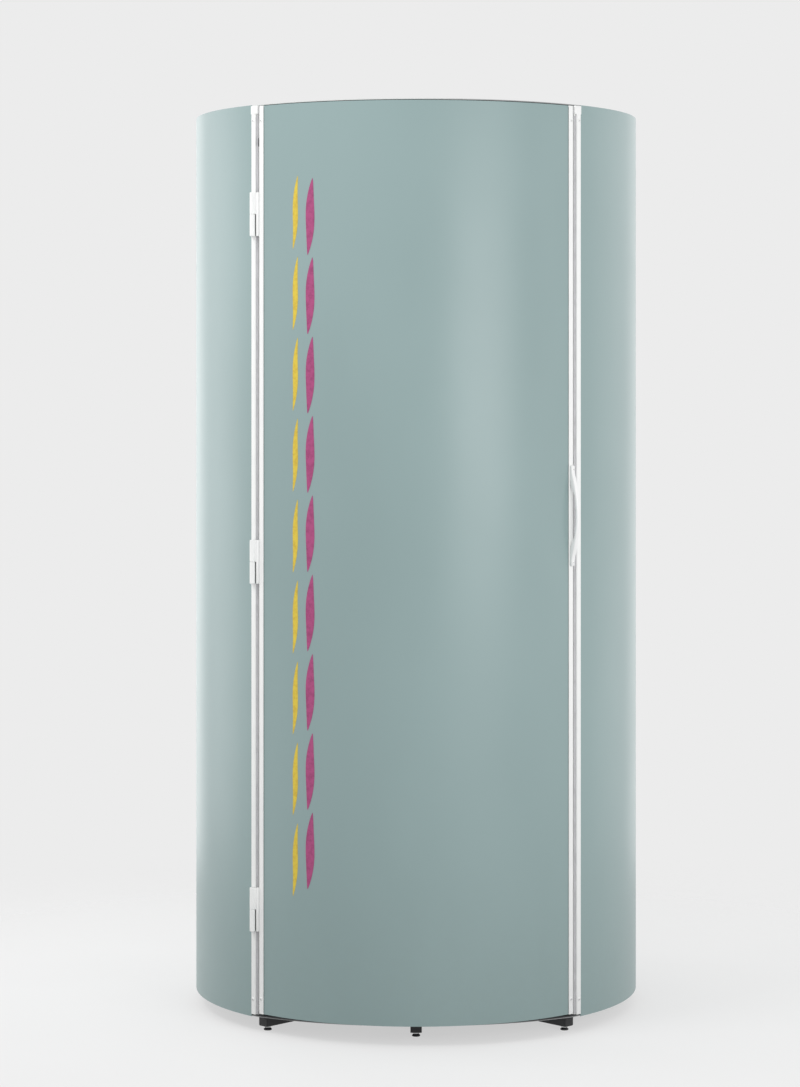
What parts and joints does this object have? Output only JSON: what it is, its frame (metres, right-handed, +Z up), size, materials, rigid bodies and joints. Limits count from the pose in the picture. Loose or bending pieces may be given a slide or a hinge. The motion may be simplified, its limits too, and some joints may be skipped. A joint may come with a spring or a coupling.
{
  "type": "vertical tanning booth",
  "caption": "Cylindrical stand-up tanning booth with a curved hinged door, upright lamps behind clear shields, extract fans and levelling feet.",
  "frame": {"origin": "on the cabin's axis at floor level", "axes": "+Z up, -Y towards the front of the door, +X to the right seen from the front"},
  "size_m": [1.0196, 1.0196, 2.0425],
  "materials": {
    "base_steel": "black powder coat",
    "black_plastic": "black moulded plastic",
    "foot_plastic": "black moulded foot pad",
    "floor_board": "plywood with a dark grey coating",
    "mat_rubber": "ribbed rubber mat",
    "white_aluminium": "extruded aluminium with a white powder coat",
    "sage_steel": "pale sage powder-coated sheet",
    "white_plastic": "white moulded plastic",
    "galvanised": "galvanised sheet",
    "bright_aluminium": "bright rolled reflector",
    "lamp_glass": "phosphor-coated lamp glass",
    "clear_acrylic": "clear acrylic sheet",
    "grey_rubber": "grey seal rubber",
    "steel": "zinc-plated steel",
    "green_button": "green button",
    "red_button": "red button",
    "ballast_iron": "white painted ballast can"
  },
  "bodies": {
    "cabin": {"base_frame": "base_steel", "arm_end_caps": "black_plastic", "base_plate": "base_steel", "base_ring": "base_steel", "floor_panel": "floor_board", "floor_mat": "mat_rubber", "front_post_right": "white_aluminium", "front_post_left": "white_aluminium", "rear_posts": "white_aluminium", "side_panel_right": "sage_steel", "side_panel_left": "sage_steel", "rear_panel": "sage_steel", "mains_gland": "black_plastic", "roof_ring": "base_steel", "roof_cover": "base_steel", "ceiling_pan": "base_steel", "fan_housings": "black_plastic", "fan_guards": "steel", "ballasts": "ballast_iron", "lamp_carriers": "galvanised", "body_lamps": "lamp_glass", "body_lamp_holders": "white_plastic", "body_reflectors": "bright_aluminium", "shield_right": "clear_acrylic", "shield_left": "clear_acrylic", "shield_rear": "clear_acrylic", "shield_rails": "white_aluminium", "grab_bars": "white_aluminium", "control_box": "white_plastic", "door_catches": "black_plastic", "door_seals": "grey_rubber", "post_screws": "steel", "hinge_body_halves": "white_aluminium", "hinge_pins": "steel"},
    "door": {"door_skin": "sage_steel", "door_stile_right": "white_aluminium", "door_stile_left": "white_aluminium", "door_rail_low": "base_steel", "door_rail_high": "base_steel", "door_reflector": "bright_aluminium", "door_shield": "clear_acrylic", "door_lamps": "lamp_glass", "door_lamp_holders": "white_plastic", "door_handle": "white_plastic", "door_pull": "white_plastic", "hinge_door_halves": "white_aluminium", "door_strikers": "steel", "door_screws": "steel"},
    "foot_1": {"levelling_foot_1": "foot_plastic"},
    "foot_2": {"levelling_foot_2": "foot_plastic"},
    "foot_3": {"levelling_foot_3": "foot_plastic"},
    "foot_4": {"levelling_foot_4": "foot_plastic"},
    "foot_5": {"levelling_foot_5": "foot_plastic"},
    "foot_6": {"levelling_foot_6": "foot_plastic"},
    "left_fan": {"fan_impeller_left": "black_plastic"},
    "right_fan": {"fan_impeller_right": "black_plastic"},
    "timer_knob": {"timer_knob": "black_plastic"},
    "start_button": {"start_button": "green_button"},
    "stop_button": {"stop_button": "red_button"}
  },
  "joints": [
    {"name": "door_hinge", "type": "hinge", "parent": "cabin", "child": "door", "pos_m": [-0.35957, -0.37364, 1.035], "axis": [0, 0, -1], "range_deg": [0, 135]},
    {"name": "left_fan_spin", "type": "hinge", "parent": "cabin", "child": "left_fan", "pos_m": [-0.15, 0, 2.015], "axis": [0, 0, 1], "continuous": true},
    {"name": "right_fan_spin", "type": "hinge", "parent": "cabin", "child": "right_fan", "pos_m": [0.15, 0, 2.015], "axis": [0, 0, 1], "continuous": true},
    {"name": "timer_turn", "type": "hinge", "parent": "cabin", "child": "timer_knob", "pos_m": [0.29807, -0.25911, 1.35], "axis": [0.7547, -0.6561, 0], "range_deg": [0, 300]},
    {"name": "start_push", "type": "slide", "parent": "cabin", "child": "start_button", "axis": [0.7547, -0.6561, 0], "range_m": [0, 0.003], "stiffness_N_per_m": 600, "springref_m": -0.002},
    {"name": "stop_push", "type": "slide", "parent": "cabin", "child": "stop_button", "axis": [0.7547, -0.6561, 0], "range_m": [0, 0.003], "stiffness_N_per_m": 600, "springref_m": -0.002},
    {"name": "foot_1_screw", "type": "slide", "parent": "cabin", "child": "foot_1", "axis": [0, 0, -1], "range_m": [0, 0.014]},
    {"name": "foot_2_screw", "type": "slide", "parent": "cabin", "child": "foot_2", "axis": [0, 0, -1], "range_m": [0, 0.014]},
    {"name": "foot_3_screw", "type": "slide", "parent": "cabin", "child": "foot_3", "axis": [0, 0, -1], "range_m": [0, 0.014]},
    {"name": "foot_4_screw", "type": "slide", "parent": "cabin", "child": "foot_4", "axis": [0, 0, -1], "range_m": [0, 0.014]},
    {"name": "foot_5_screw", "type": "slide", "parent": "cabin", "child": "foot_5", "axis": [0, 0, -1], "range_m": [0, 0.014]},
    {"name": "foot_6_screw", "type": "slide", "parent": "cabin", "child": "foot_6", "axis": [0, 0, -1], "range_m": [0, 0.014]}
  ]
}
